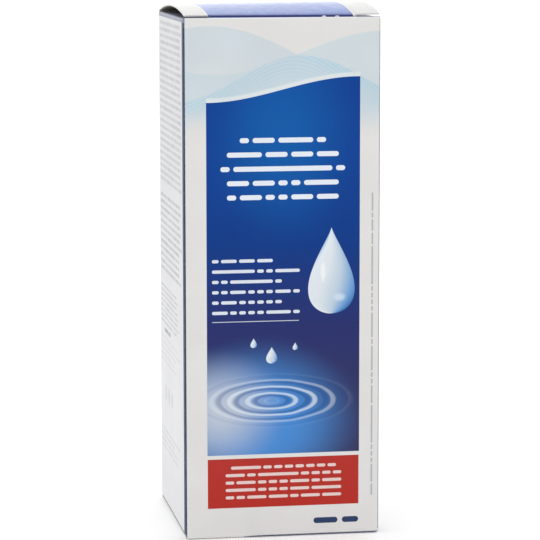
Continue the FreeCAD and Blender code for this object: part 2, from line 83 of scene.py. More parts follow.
# ------------------------------------------------------------------ node helper
class Graph:
    """Short names for building a material's nodes."""

    def __init__(self, name):
        self.mat = bpy.data.materials.new(name)
        self.mat.use_nodes = True
        self.nt = self.mat.node_tree
        self.nt.nodes.clear()
        self.out = self.nt.nodes.new("ShaderNodeOutputMaterial")
        self.shader = self.nt.nodes.new("ShaderNodeBsdfPrincipled")
        self.nt.links.new(self.shader.outputs[0], self.out.inputs[0])
        tc = self.nt.nodes.new("ShaderNodeTexCoord")
        self.obj, self.nor = tc.outputs["Object"], tc.outputs["Normal"]
        mm = self.nt.nodes.new("ShaderNodeVectorMath")
        mm.operation = "SCALE"
        mm.inputs["Scale"].default_value = 1000.0
        self.nt.links.new(self.obj, mm.inputs[0])
        self.pos = mm.outputs[0]
        self.x, self.y, self.z = self.split(self.pos)
        self.nx, self.ny, self.nz = self.split(self.nor)

    def put(self, socket, value):
        if isinstance(value, bpy.types.NodeSocket):
            self.nt.links.new(value, socket)
        else:
            socket.default_value = value

    def split(self, v):
        n = self.nt.nodes.new("ShaderNodeSeparateXYZ")
        self.put(n.inputs[0], v)
        return n.outputs[0], n.outputs[1], n.outputs[2]

    def join(self, x, y, z):
        n = self.nt.nodes.new("ShaderNodeCombineXYZ")
        for i, v in enumerate((x, y, z)):
            self.put(n.inputs[i], v)
        return n.outputs[0]

    def m(self, op, a, b=None, c=None, clamp=False):
        n = self.nt.nodes.new("ShaderNodeMath")
        n.operation = op
        n.use_clamp = clamp
        for i, v in enumerate((a, b, c)):
            if v is not None:
                self.put(n.inputs[i], v)
        return n.outputs[0]

    def add(self, a, b):
        return self.m("ADD", a, b)

    def sub(self, a, b):
        return self.m("SUBTRACT", a, b)

    def mul(self, *v):
        out = v[0]
        for k in v[1:]:
            out = self.m("MULTIPLY", out, k)
        return out

    def inv(self, a):
        return self.m("SUBTRACT", 1.0, a)

    def any(self, *v):
        out = v[0]
        for k in v[1:]:
            out = self.m("MAXIMUM", out, k)
        return out

    def step(self, v, lo, hi):
        """0 below lo, 1 above hi, smooth between."""
        n = self.nt.nodes.new("ShaderNodeMapRange")
        n.interpolation_type = "SMOOTHSTEP"
        self.put(n.inputs["Value"], v)
        self.put(n.inputs["From Min"], lo)
        self.put(n.inputs["From Max"], hi)
        return n.outputs[0]

    def remap(self, v, a, b, c, d):
        n = self.nt.nodes.new("ShaderNodeMapRange")
        for i, k in enumerate((v, a, b, c, d)):
            self.put(n.inputs[i], k)
        return n.outputs[0]

    def span(self, v, lo, hi, soft=0.06):
        """1 between lo and hi."""
        a = self.step(self.sub(v, lo), -soft, soft)
        b = self.step(self.sub(v, hi), -soft, soft)
        return self.mul(a, self.inv(b))

    def rect(self, u, v, u0, u1, v0, v1, soft=0.06):
        return self.mul(self.span(u, u0, u1, soft), self.span(v, v0, v1, soft))

    def noise(self, scale, detail=2.0, rough=0.5, vec=None, stretch=None):
        n = self.nt.nodes.new("ShaderNodeTexNoise")
        v = vec if vec is not None else self.pos
        if stretch is not None:
            mp = self.nt.nodes.new("ShaderNodeMapping")
            mp.inputs["Scale"].default_value = stretch
            self.put(mp.inputs[0], v)
            v = mp.outputs[0]
        self.put(n.inputs["Vector"], v)
        n.inputs["Scale"].default_value = scale
        n.inputs["Detail"].default_value = detail
        n.inputs["Roughness"].default_value = rough
        return n.outputs["Fac"]

    def rand(self, v):
        n = self.nt.nodes.new("ShaderNodeTexWhiteNoise")
        n.noise_dimensions = "1D"
        self.put(n.inputs["W"], v)
        return n.outputs["Value"]

    def rand2(self, u, v):
        n = self.nt.nodes.new("ShaderNodeTexWhiteNoise")
        n.noise_dimensions = "2D"
        self.put(n.inputs["Vector"], self.join(u, v, 0.0))
        return n.outputs["Value"]

    def mix(self, fac, a, b):
        n = self.nt.nodes.new("ShaderNodeMix")
        n.data_type = "RGBA"
        n.clamp_factor = True
        self.put(n.inputs["Factor"], fac)
        self.put(n.inputs[6], a)
        self.put(n.inputs[7], b)
        return n.outputs[2]

    def mixf(self, fac, a, b):
        n = self.nt.nodes.new("ShaderNodeMix")
        n.data_type = "FLOAT"
        n.clamp_factor = True
        self.put(n.inputs["Factor"], fac)
        self.put(n.inputs[2], a)
        self.put(n.inputs[3], b)
        return n.outputs[0]

    def ramp(self, fac, stops):
        n = self.nt.nodes.new("ShaderNodeValToRGB")
        e = n.color_ramp.elements
        while len(e) < len(stops):
            e.new(0.5)
        for k, (p, c) in zip(e, stops):
            k.position = p
            k.color = c
        self.put(n.inputs[0], fac)
        return n.outputs[0]

    def bump(self, height, distance, strength=1.0, normal=None):
        n = self.nt.nodes.new("ShaderNodeBump")
        n.inputs["Strength"].default_value = strength
        n.inputs["Distance"].default_value = distance
        self.put(n.inputs["Height"], height)
        if normal is not None:
            self.put(n.inputs["Normal"], normal)
        return n.outputs[0]

    def set(self, **values):
        for k, v in values.items():
            self.put(self.shader.inputs[k.replace("_", " ")], v)

    # ---------------------------------------------------------------- print motifs
    def bars(self, u, v, u0, u1, top, pitch, rows, tall, cell, seed, align="left", least=0.6, gap=0.9, cut=0.5):
        """Rows of plain round-ended bars, word long, where small print would be. Lengths in millimetres."""
        r = self.m("DIVIDE", self.sub(top, v), pitch)
        row = self.m("FLOOR", r)
        across = self.mul(self.sub(self.sub(r, row), 0.5), pitch)
        most = math.floor((u1 - u0) / cell / 2)
        pairs = self.remap(self.rand(self.add(row, seed)), 0.0, 1.0, least * most, most + 0.99)
        count = self.mul(self.m("FLOOR", pairs), 2.0)
        if align == "centre":
            start = self.sub((u0 + u1 + gap) / 2, self.mul(count, cell / 2))
        else:
            start = u0
        q = self.m("DIVIDE", self.sub(u, start), cell)
        k = self.m("FLOOR", q)
        f = self.mul(self.sub(q, k), cell)
        odd = self.m("GREATER_THAN", self.m("MODULO", self.add(k, 100.0), 2.0), 0.5)
        inside = self.mul(
            self.m("GREATER_THAN", row, -0.5),
            self.m("LESS_THAN", row, rows - 0.5),
            self.m("GREATER_THAN", k, -0.5),
            self.m("LESS_THAN", self.sub(k, count), -0.5),
        )
        line = self.add(row, seed * 3.7)
        after = self.any(
            self.mul(odd, self.m("GREATER_THAN", self.rand2(k, line), cut)),
            self.m("GREATER_THAN", self.sub(k, count), -1.5),
        )
        before = self.any(
            self.mul(self.inv(odd), self.m("GREATER_THAN", self.rand2(self.sub(k, 1.0), line), cut)),
            self.m("LESS_THAN", k, 0.5),
        )
        half = tall / 2
        low = self.mul(self.m("MAXIMUM", self.sub(half, f), 0.0), before)
        high = self.mul(self.m("MAXIMUM", self.sub(f, cell - gap - half), 0.0), after)
        past = self.m("MAXIMUM", low, high)
        d = self.m("SQRT", self.add(self.mul(past, past), self.mul(across, across)))
        return self.mul(inside, self.inv(self.step(d, half - 0.07, half + 0.07)))

    def capsule(self, u, v, u0, u1, mid, tall):
        half = tall / 2
        past = self.m("MAXIMUM", self.sub(self.m("ABSOLUTE", self.sub(u, (u0 + u1) / 2)), (u1 - u0) / 2 - half), 0.0)
        across = self.sub(v, mid)
        d = self.m("SQRT", self.add(self.mul(past, past), self.mul(across, across)))
        return self.inv(self.step(d, half - 0.07, half + 0.07))

    def dist(self, u, v, cu, cv, ru, rv):
        a = self.m("DIVIDE", self.sub(u, cu), ru)
        b = self.m("DIVIDE", self.sub(v, cv), rv)
        return self.m("SQRT", self.add(self.mul(a, a), self.mul(b, b)))


# ------------------------------------------------------------------ paperboard
def board(name, outward, colour, worn=None, shine=0.12, coat=0.08, rough=0.42, rim=CORE, gloss=None):
    """Folding boxboard: varnished print on the side facing outward, bare fibres inside and on cut edges.

    colour is a plain colour or a function of the graph that gives the print, worn a function that says where print rubs off,
    rim the colour of the cut edges, and gloss a function that says where the varnish is whole.
    """
    g = Graph(name)
    ox, oy, oz = outward
    facing = g.add(g.add(g.mul(g.nx, ox), g.mul(g.ny, oy)), g.mul(g.nz, oz))
    outer = g.step(facing, 0.42, 0.5)
    inner = g.step(g.mul(facing, -1.0), 0.42, 0.5)

    fibre = g.noise(2.6, 4.0, 0.65)
    long_fibre = g.noise(0.55, 5.0, 0.7, stretch=(1.0, 1.0, 0.35))
    cloud = g.noise(0.06, 3.0, 0.5)
    # ink density drifts a little, and fine grain breaks up flat tints
    tone = g.mul(g.remap(cloud, 0.3, 0.7, 0.975, 1.02), g.remap(fibre, 0.3, 0.7, 0.985, 1.012))
    vm = g.nt.nodes.new("ShaderNodeVectorMath")
    vm.operation = "SCALE"
    g.put(vm.inputs[0], colour(g) if callable(colour) else colour[:3])
    g.put(vm.inputs["Scale"], tone)
    face = vm.outputs[0]
    if worn is not None:
        rub = g.mul(worn(g), g.step(g.noise(1.9, 4.0, 0.7), 0.46, 0.68))
        face = g.mix(rub, face, CORE)
    raw = g.mix(g.step(long_fibre, 0.35, 0.7), RAW, (0.46, 0.435, 0.385, 1.0))
    raw = g.mix(g.mul(g.step(fibre, 0.6, 0.7), 0.4), raw, (0.27, 0.25, 0.21, 1.0))
    edge = g.mix(g.step(fibre, 0.4, 0.65), rim, tuple(k * 0.82 for k in rim[:3]) + (1.0,))
    base = g.mix(inner, g.mix(outer, edge, face), raw)
    g.set(Base_Color=base)

    smooth = g.remap(g.noise(0.25, 3.0, 0.6), 0.3, 0.7, rough - 0.05, rough + 0.06)
    g.set(Roughness=g.mixf(outer, 0.86, smooth))
    g.set(Coat_Weight=g.mul(outer, coat) if gloss is None else g.mul(outer, gloss(g), coat))
    g.shader.inputs["Coat Roughness"].default_value = 0.18
    g.shader.inputs["Specular IOR Level"].default_value = shine
    # fibre texture, and a faint waviness of the board that gloss shows up
    rough_up = g.mixf(outer, 1.0, 0.04)
    h = g.add(g.mul(fibre, rough_up), g.mul(g.noise(0.05, 1.0, 0.4), 6.0))
    g.set(Normal=g.bump(h, 0.00003, 0.6))
    return g.mat


def edge_wear(top):
    """Rubbing along the upright folds and the ends of a wall that reaches up to top."""

    def worn(g):
        ax, ay = g.m("ABSOLUTE", g.x), g.m("ABSOLUTE", g.y)
        corner = g.mul(g.step(ax, HW - 0.55, HW - 0.2), g.step(ay, HD - 0.55, HD - 0.2))
        ends = g.any(g.inv(g.step(g.z, 0.1, 1.1)), g.step(g.z, top - 1.0, top - 0.2))
        tips = g.mul(corner, g.any(g.inv(g.step(g.z, 1.0, 9.0)), g.step(g.z, top - 9.0, top - 1.0)))
        return g.any(g.mul(corner, 0.22), g.mul(ends, 0.3), g.mul(tips, 0.75))

    return worn


def drop(g, x, z, under, cx, cz, tall, wide):
    """A teardrop of clear liquid, lit from the upper left, over the colour under it."""
    y = g.m("DIVIDE", g.sub(z, cz), tall)
    y = g.m("MINIMUM", g.m("MAXIMUM", y, -0.999), 0.999)
    flank = g.mul(
        g.m("SQRT", g.sub(1.0, g.mul(y, y))),
        g.m("POWER", g.mul(g.sub(1.0, y), 0.5), 0.75),
    )
    w = g.mul(flank, wide / 0.7)
    p = g.m("DIVIDE", g.sub(x, cx), g.m("MAXIMUM", w, 0.01))
    inside = g.mul(
        g.inv(g.step(g.sub(g.m("ABSOLUTE", g.sub(x, cx)), w), -0.1, 0.1)),
        g.m("LESS_THAN", g.m("ABSOLUTE", g.sub(z, cz)), tall),
    )
    lean = g.add(g.mul(p, 0.36), g.add(g.mul(y, -0.2), 0.5))
    shade = g.ramp(
        lean,
        [
            (0.0, ink(150, 186, 222)),
            (0.16, ink(226, 234, 240)),
            (0.42, ink(222, 229, 234)),
            (0.68, ink(190, 208, 224)),
            (0.88, ink(118, 164, 212)),
            (1.0, ink(72, 122, 188)),
        ],
    )
    glint = g.inv(g.step(g.dist(x, z, cx - wide * 0.36, cz - tall * 0.02, wide * 0.13, tall * 0.26), 0.5, 1.15))
    shade = g.mix(glint, shade, ink(240, 243, 245))
    bounce = g.inv(g.step(g.dist(x, z, cx + wide * 0.34, cz - tall * 0.62, wide * 0.34, tall * 0.12), 0.2, 1.1))
    shade = g.mix(g.mul(bounce, 0.75), shade, ink(214, 230, 242))
    return g.mix(g.mul(inside, 0.96), under, shade)


def field_colour(g, x, z, seed):
    """Blue field with a rippling pool of light, on white board, over a red band. x and z in millimetres."""
    # pale sweeps on the white above the field, and a fan of fine lines between them
    c1 = g.add(g.mul(g.m("SINE", g.add(g.mul(x, 0.052), -0.35)), 7.5), 173.5)
    c2 = g.add(g.mul(g.m("SINE", g.add(g.mul(x, 0.07), 1.1)), 8.0), 164.5)
    c3 = g.add(g.mul(g.m("SINE", g.add(g.mul(x, 0.043), 2.7)), 13.0), 170.0)
    w1, w2, w3 = g.sub(z, c1), g.sub(z, c2), g.sub(z, c3)
    low = g.step(z, 143.0, 158.0)
    s1 = g.inv(g.step(w1, -0.5, 0.5))
    s2 = g.mul(g.step(w2, -13.0, -1.0), g.inv(g.step(w2, -0.35, 0.35)))
    s3 = g.mul(g.step(w3, -34.0, -6.0), g.inv(g.step(w3, -0.35, 0.35)))
    out = g.mix(g.mul(s1, low, 0.85), WHITE, ink(202, 214, 219))
    out = g.mix(g.mul(s2, low, 0.85), out, ink(180, 206, 219))
    out = g.mix(g.mul(s3, low, 0.6), out, ink(192, 208, 218))
    fan = g.step(g.m("SINE", g.mul(g.sub(g.mul(w2, 1.6), g.mul(w1, 0.5)), 4.2)), 0.55, 0.95)
    out = g.mix(g.mul(fan, s2, low, 0.3), out, ink(222, 230, 233))

    # the field: top edge is a long S, rising to the right, with a white line along it
    top = g.add(g.mul(g.m("SINE", g.mul(x, 1.0 / 17.5)), 4.4), 160.6)
    over = g.sub(z, top)
    across = g.span(x, -27.28, 27.82)
    inside = g.mul(across, g.step(z, 30.08, 30.23), g.inv(g.step(over, -0.08, 0.08)))
    line = g.mul(across, g.step(over, -0.08, 0.08), g.inv(g.step(over, 1.1, 1.9)))
    out = g.mix(g.mul(line, 0.8), out, ink(224, 228, 229))
    t = g.remap(z, 30.0, 166.0, 0.0, 1.0)
    blue = g.ramp(
        t,
        [
            (0.0, ink(62, 61, 95)),
            (0.16, ink(58, 60, 102)),
            (0.34, ink(50, 57, 110)),
            (0.55, ink(32, 64, 134)),
            (0.75, ink(28, 70, 147)),
            (1.0, ink(26, 70, 147)),
        ],
    )
    shine = g.inv(g.step(g.dist(x, z, 0.0, 144.0, 30.0, 44.0), 0.1, 1.0))
    blue = g.mix(g.mul(shine, 0.8), blue, ink(33, 97, 170))
    # pool of light
    wide = g.inv(g.step(g.dist(x, z, -9.0, 42.0, 34.0, 27.0), 0.3, 1.2))
    near = g.inv(g.step(g.dist(x, z, -23.0, 46.0, 22.0, 20.0), 0.0, 1.2))
    blue = g.mix(g.mul(wide, 0.95), blue, ink(80, 142, 212))
    blue = g.mix(g.mul(near, 0.96), blue, ink(190, 198, 210))
    # ripples on it
    ring_d = g.dist(x, z, -4.0, 49.5, 1.0, 0.34)
    wob = g.mul(g.sub(g.noise(0.09, 2.0, 0.5), 0.5), 2.0)
    phase = g.add(g.mul(ring_d, 0.92), wob)
    fade = g.mul(g.step(ring_d, 1.5, 4.0), g.inv(g.step(ring_d, 14.0, 31.0)))
    dark = g.step(g.m("SINE", g.add(phase, 2.5)), 0.3, 1.0)
    blue = g.mix(g.mul(dark, fade, 0.45), blue, ink(38, 70, 132))
    ring = g.step(g.m("SINE", phase), 0.3, 0.98)
    blue = g.mix(g.mul(ring, fade, 0.62), blue, ink(224, 233, 240))
    for cx, cz, r in ((-4.0, 66.0, 2.0), (-10.5, 70.5, 1.15), (4.5, 69.0, 0.9)):
        blue = drop(g, x, z, blue, cx, cz, r * 1.5, r)
    blue = drop(g, x, z, blue, 17.6, 96.0, 15.5, 8.4)

    pale = ink(226, 232, 240)
    head = g.bars(x, z, -22.9, 23.1, 145.3, 5.05, 5, 1.75, 2.3, seed + 3.0, "centre", 0.72, 1.3, 0.45)
    small = g.bars(x, z, -25.4, 7.6, 101.9, 3.7, 6, 1.15, 1.62, seed + 11.0, "left", 0.68, 0.85, 0.45)
    rule = g.mul(g.span(x, -25.4, 5.8), g.span(z, 78.2, 78.45, 0.05))
    blue = g.mix(g.any(head, g.mul(small, 0.92), g.mul(rule, 0.8)), blue, pale)
    out = g.mix(inside, out, blue)

    # red band
    band = g.rect(x, z, -27.18, 27.66, 10.88, 28.78)
    red = g.mix(g.remap(z, 10.88, 28.78, 0.0, 1.0), ink(180, 57, 50), ink(179, 60, 55))
    say = g.bars(x, z, -23.4, 24.0, 26.8, 2.7, 5, 1.1, 1.95, seed + 19.0, "centre", 0.9, 0.8, 0.45)
    red = g.mix(g.mul(say, 0.9), red, ink(232, 214, 210))
    out = g.mix(band, out, red)

    amount = g.any(g.capsule(x, z, 11.2, 20.0, 5.2, 2.1), g.capsule(x, z, 21.6, 27.6, 5.2, 2.1))
    out = g.mix(amount, out, ink(56, 70, 104))
    side = g.bars(z, x, 13.8, 128.0, 32.9, 1.0, 1, 0.62, 1.2, seed + 23.0, "left", 0.98, 0.55, 0.5)
    return g.mix(g.mul(side, 0.5), out, ink(120, 124, 134))


def fold_ink(g, out, coord):
    """Ink of the side stripes runs over the upright folds onto the next wall."""
    fold = g.any(g.step(g.mul(coord, -1.0), HW - 0.5, HW - 0.36), g.mul(g.step(coord, HW - 0.42, HW - 0.26), 0.8))
    return g.mix(fold, out, NAVY)


def front_colour(g):
    out = fold_ink(g, field_colour(g, g.x, g.z, 1.0), g.x)
    foot = g.mul(g.inv(g.step(g.z, 0.42, 0.62)), g.step(g.x, -14.0, -8.0))
    out = g.mix(g.mul(foot, 0.9), out, NAVY)
    # a pale strip just below the cut edge, broken up by noise: painted highlight of the lit edge
    edge_highlight = g.mul(g.step(g.z, Z_FRONT - 0.55, Z_FRONT - 0.35), g.span(g.x, -26.5, 26.5, 0.6))
    out = g.mix(g.mul(edge_highlight, g.remap(g.noise(0.35, 3.0, 0.6), 0.3, 0.7, 0.6, 1.0)), out, HIGHLIGHT_WHITE)
    # a dark blue band at the very top of the face: painted shadow of the lid's fold, in a blue like the lid's
    return g.mix(g.step(g.z, Z_FRONT - 0.13, Z_FRONT - 0.06), out, ink(88, 97, 142))


def back_colour(g):
    return field_colour(g, g.mul(g.x, -1.0), g.z, 57.0)


def side_colour(sign):
    def colour(g):
        u = g.mul(g.y, -1.0) if sign < 0 else g.y  # runs left to right as seen from outside
        a, b = (-31.8, 30.0) if sign < 0 else (-30.0, 31.8)
        seed = 5.0 if sign < 0 else 77.0
        # the white is painted darker towards the top, as painted shade; over it paragraphs of fine print, each with its
        # own weight of ink
        out = g.mix(g.step(g.z, 40.0, 190.0), SIDE_WHITE_LIT, ink(217, 217, 219))
        for top, pitch, rows, tall, cell, end, least, weight in (
            (183.2, 2.42, 25, 1.3, 1.25, b, 0.97, 0.4),
            (119.0, 2.5, 12, 1.2, 1.25, b, 0.86, 0.5),
            (84.6, 1.95, 8, 0.95, 1.1, b - 8.0, 0.8, 0.42),
            (65.2, 2.2, 5, 1.0, 1.25, b - 6.0, 0.7, 0.15),
            (30.0, 2.2, 4, 1.0, 1.25, b - 4.0, 0.55, 0.22),
        ):
            seed += 13.0
            text = g.bars(u, g.z, a, end, top, pitch, rows, tall, cell, seed, "left", least, 0.62, 0.45)
            out = g.mix(g.mul(text, weight), out, ink(150, 152, 158))
        head = g.bars(u, g.z, a + 9.0, a + 27.0, 68.3, 2.1, 1, 1.4, 1.8, seed + 2.0, "left", 0.9, 0.9, 0.45)
        out = g.mix(g.mul(head, 0.6), out, ink(112, 116, 128))
        # plain round marks in a row
        marks = g.any(*[g.capsule(u, g.z, a + k, a + k + 6.0, 43.5, 6.0) for k in (9.0, 18.0, 27.0)])
        out = g.mix(g.mul(marks, 0.22), out, ink(150, 152, 158))
        # stripe along the fold to the front, and a blue-grey band below the top fold: painted shade under the lid
        out = g.mix(g.inv(g.step(g.y, -30.47, -30.27)), out, NAVY)
        return g.mix(g.mul(g.step(g.z, Z_SIDE - 1.6, Z_SIDE - 1.4), 0.8), out, ink(130, 139, 160))

    return colour


def lid_colour(x0, x1):
    def colour(g):
        # the blue is painted darker towards the front fold and darkest past it: painted shade of the gap where the lid
        # tucks in
        blue = g.ramp(
            g.remap(g.y, -34.7, 34.7, 0.0, 1.0),
            [(0.0, ink(44, 52, 100)), (0.018, ink(38, 60, 134)), (0.045, ink(42, 84, 174)), (0.085, ink(54, 100, 184)), (1.0, ink(54, 98, 178))],
        )
        return g.mix(g.span(g.x, x0, x1, 0.07), LID_WHITE_SHADED, blue)

    return colour


def lid_wear(g):
    fold = g.step(g.m("ABSOLUTE", g.y), HD - 1.0, HD - 0.5)
    ends = g.step(g.m("ABSOLUTE", g.x), 34.2, 34.7)
    return g.mul(g.any(fold, ends), 0.35)


def lid_gloss(g):
    """The varnish is cracked along the front fold, and lies thinner on the ends that carry no ink."""
    return g.mul(g.remap(g.y, -34.3, -30.1, 0.2, 1.0), g.mixf(g.span(g.x, -26.3, 25.3, 0.07), 0.2, 1.0))


def dust_shade_colour(g):
    """White in the middle, blue-grey over the outer 14 mm by each side wall: painted shade of the space under the lid's
    ends.
    """
    return g.mix(g.step(g.m("ABSOLUTE", g.x), HW - 14.2, HW - 14.0), WHITE, ink(122, 128, 147))


M = {
    # the front's cut edges are dark blue: painted shadow of the lid's fold
    "front": board("board_front", (0, -1, 0), front_colour, edge_wear(Z_FRONT), 0.06, 0.06, rim=ink(84, 95, 154)),
    "back": board("board_back", (0, 1, 0), back_colour, edge_wear(H), 0.06, 0.06),
    "left": board("board_left", (-1, 0, 0), side_colour(-1), edge_wear(Z_SIDE), 0.03, 0.03),
    "right": board("board_right", (1, 0, 0), side_colour(1), edge_wear(Z_SIDE), 0.03, 0.03),
    "lid": board("board_top_lid", (0, -0.12, 1), lid_colour(-26.3, 25.3), lid_wear, 0.2, 0.48, 0.32, gloss=lid_gloss),
    "base": board("board_bottom_lid", (0, 0, -1), lid_colour(-14.0, 34.2), lid_wear),
    "top_tuck": board("board_top_tuck", (0, -1, 0.45), lid_colour(-26.3, 25.3), None, 0.3),
    "bottom_tuck": board("board_bottom_tuck", (0, 1, -0.45), WHITE),
    "top_dust": board("board_top_dust", (0, 0, 1), dust_shade_colour),
    "bottom_dust": board("board_bottom_dust", (0, 0, -1), dust_shade_colour),
    "glue": board("board_glue", (1, 0, 0), WHITE),
    "nick": board("board_nick", (0, -1, 0.2), CORE),
}


def paint(node, mat):
    o = nodes[node]
    for s in o.material_slots:
        s.material = mat


paint("carton_front_panel", M["front"])
paint("carton_back_panel", M["back"])
paint("carton_left_panel", M["left"])
paint("carton_right_panel", M["right"])
paint("carton_glue_flap", M["glue"])
paint("top_tuck_flap", M["top_tuck"])
paint("top_left_dust_flap", M["top_dust"])
paint("top_right_dust_flap", M["top_dust"])
paint("bottom_lid", M["base"])
paint("bottom_tuck_flap", M["bottom_tuck"])
paint("bottom_left_dust_flap", M["bottom_dust"])
paint("bottom_right_dust_flap", M["bottom_dust"])


# ------------------------------------------------------------------ bowed lid
R_OUT, R_IN = 0.8, 0.3
C_BACK, C_FRONT = (HD - R_OUT, H - R_OUT), (-33.6, H - R_OUT)
MITRE = 145.8  # where the lid's half of the front fold meets the tuck flap's


def bow(x):
    """The lid stands a little higher towards its right end: half angle of the bow at x, in degrees."""
    return math.degrees(2 * math.atan((3.02 + 0.0116 * x) / 33.95))


def polar(c, r, deg):
    t = math.radians(deg)
    return c[0] + r * math.cos(t), c[1] + r * math.sin(t)


def solid(name, verts, faces, mat, sharp=35.0):
    me = bpy.data.meshes.new(name)
    me.from_pydata([tuple(k * MM for k in v) for v in verts], [], faces)
    me.validate()
    b = bmesh.new()
    b.from_mesh(me)
    bmesh.ops.remove_doubles(b, verts=b.verts, dist=1e-7)
    bmesh.ops.recalc_face_normals(b, faces=b.faces)
    b.to_mesh(me)
    b.free()
    me.polygons.foreach_set("use_smooth", [True] * len(me.polygons))
    me.set_sharp_from_angle(angle=math.radians(sharp))
    me.materials.append(mat)
    o = bpy.data.objects.new(name, me)
    scene.collection.objects.link(o)
    return o


def smooth(t):
    t = min(max(t, 0.0), 1.0)
    return t * t * (3 - 2 * t)


def lid_section(x):
    """Outline of the lid at x from the back fold forward, as pairs of outer and inner points, and its two kinds of front end."""
    bend = bow(x)
    s_back, s_front = polar(C_BACK, R_OUT, 90 - bend), polar(C_FRONT, R_OUT, 90 + bend)
    r = (s_back[0] - s_front[0]) / (2 * math.sin(math.radians(bend)))
    c = ((s_back[0] + s_front[0]) / 2, s_back[1] - r * math.cos(math.radians(bend)))
    path = [(C_BACK, R_OUT, R_IN, 45 + (45 - bend) * i / 6) for i in range(6)]
    path += [(c, r, r - T, 90 - bend + 2 * bend * i / 48) for i in range(49)]
    fold = [(C_FRONT, R_OUT, R_IN, 90 + bend + (MITRE - 90 - bend) * i / 6) for i in range(1, 7)]
    tongue = [(c, r, r - T, 90 + bend + math.degrees(0.5 / r))]

    def points(rows):
        return [(polar(cc, ro, deg), polar(cc, ri, deg)) for cc, ro, ri, deg in rows]

    return points(path), points(fold), points(tongue)


def make_lid():
    """Bowed lid: middle runs into the front fold, both ends stop in a cut edge that stands a little proud."""
    body, bend_rows, end_rows = 55, 6, 1
    tuck, slit, end = 26.2, 26.38, 34.75
    xs = [-end + (end - slit) * i / 14 for i in range(15)]
    xs += [-tuck + 2 * tuck * i / 40 for i in range(41)]
    xs += [slit + (end - slit) * i / 14 for i in range(15)]
    sections = [lid_section(x) for x in xs]

    def lift(x, j):
        """How far the free front corners stand up, in millimetres."""
        t = smooth((j - body * 0.45) / (body * 0.55)) ** 1.6
        if x < 0:
            return 0.24 * t * smooth((-x - 25.4) / 1.7)
        return t * (0.44 * smooth((x - 26.0) / 0.9) + 0.08 * smooth((x - 26.5) / 8.5))

    verts, at = [], {}

    def vert(i, k, j, side):
        key = (i, k, j, side)
        if key not in at:
            path, fold, tongue = sections[i]
            outer, inner = (path + fold if k == "m" else path + tongue)[j]
            y, z = outer if side == "o" else inner
            at[key] = len(verts)
            verts.append((xs[i], y, z + lift(xs[i], min(j, body))))
        return at[key]

    faces = []
    for i in range(len(xs) - 1):
        x0, x1 = xs[i], xs[i + 1]
        outer_zone = abs(x0 + x1) / 2 > slit
        middle = abs(x0 + x1) / 2 < tuck
        k = "m" if middle else "e"
        n = body + (bend_rows if middle else end_rows if outer_zone else 0)
        for j in range(n - 1):
            faces.append([vert(i, k, j, "o"), vert(i + 1, k, j, "o"), vert(i + 1, k, j + 1, "o"), vert(i, k, j + 1, "o")])
            faces.append([vert(i, k, j, "i"), vert(i, k, j + 1, "i"), vert(i + 1, k, j + 1, "i"), vert(i + 1, k, j, "i")])
        for j in (0, n - 1):
            faces.append([vert(i, k, j, "o"), vert(i, k, j, "i"), vert(i + 1, k, j, "i"), vert(i + 1, k, j, "o")])
    # cut sides: the two ends, and both sides of the short slits beside the tuck flap
    for i in (0, len(xs) - 1):
        for j in range(body + end_rows - 1):
            faces.append([vert(i, "e", j, "o"), vert(i, "e", j + 1, "o"), vert(i, "e", j + 1, "i"), vert(i, "e", j, "i")])
    for i in (14, 56):
        j = body - 1
        faces.append([vert(i, "e", j, "o"), vert(i, "e", j + 1, "o"), vert(i, "e", j + 1, "i"), vert(i, "e", j, "i")])
    for i in (15, 55):
        for j in range(body - 1, body + bend_rows - 1):
            faces.append([vert(i, "m", j, "o"), vert(i, "m", j + 1, "o"), vert(i, "m", j + 1, "i"), vert(i, "m", j, "i")])
    return solid("lid_board", verts, faces, M["lid"])


lid = make_lid()
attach(lid, "top_lid")
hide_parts("top_lid")


def make_nicks():
    """Two small burrs on the front wall's cut edge, left where the die held the blank in its sheet."""
    verts, faces = [], []
    for cx, half, tall in ((14.8, 0.75, 0.42), (19.5, 0.8, 0.36)):
        n, k = 10, len(verts)
        for y in (-HD + 0.06, -HD + T - 0.06):
            for i in range(n + 1):
                t = math.pi * i / n
                verts.append((cx - half * math.cos(t), y, Z_FRONT + tall * math.sin(t) ** 0.8))
            verts += [(cx + half, y, Z_FRONT - 0.15), (cx - half, y, Z_FRONT - 0.15)]
        m = n + 3
        faces.append([k + i for i in range(m)][::-1])
        faces.append([k + m + i for i in range(m)])
        for i in range(m):
            j = (i + 1) % m
            faces.append([k + i, k + j, k + m + j, k + m + i])
    return solid("front_edge_nicks", verts, faces, M["nick"])


nicks = make_nicks()
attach(nicks, "carton")

# ------------------------------------------------------------------ score lines
# inside each fold of the closures runs the creased core of the board, which keeps the fold joined when it opens


def crease_mat():
    g = Graph("board_crease")
    fibre = g.noise(2.4, 5.0, 0.7, stretch=(1.0, 1.0, 1.0))
    crack = g.noise(0.9, 5.0, 0.75)
    c = g.mix(g.step(fibre, 0.35, 0.68), CORE, (0.62, 0.60, 0.56, 1.0))
    c = g.mix(g.mul(g.step(crack, 0.56, 0.7), 0.5), c, (0.40, 0.42, 0.47, 1.0))
    g.set(Base_Color=c)
    g.set(Roughness=g.remap(fibre, 0.3, 0.7, 0.78, 0.95))
    g.set(Normal=g.bump(g.add(fibre, crack), 0.00006, 0.8))
    return g.mat


CREASE = crease_mat()


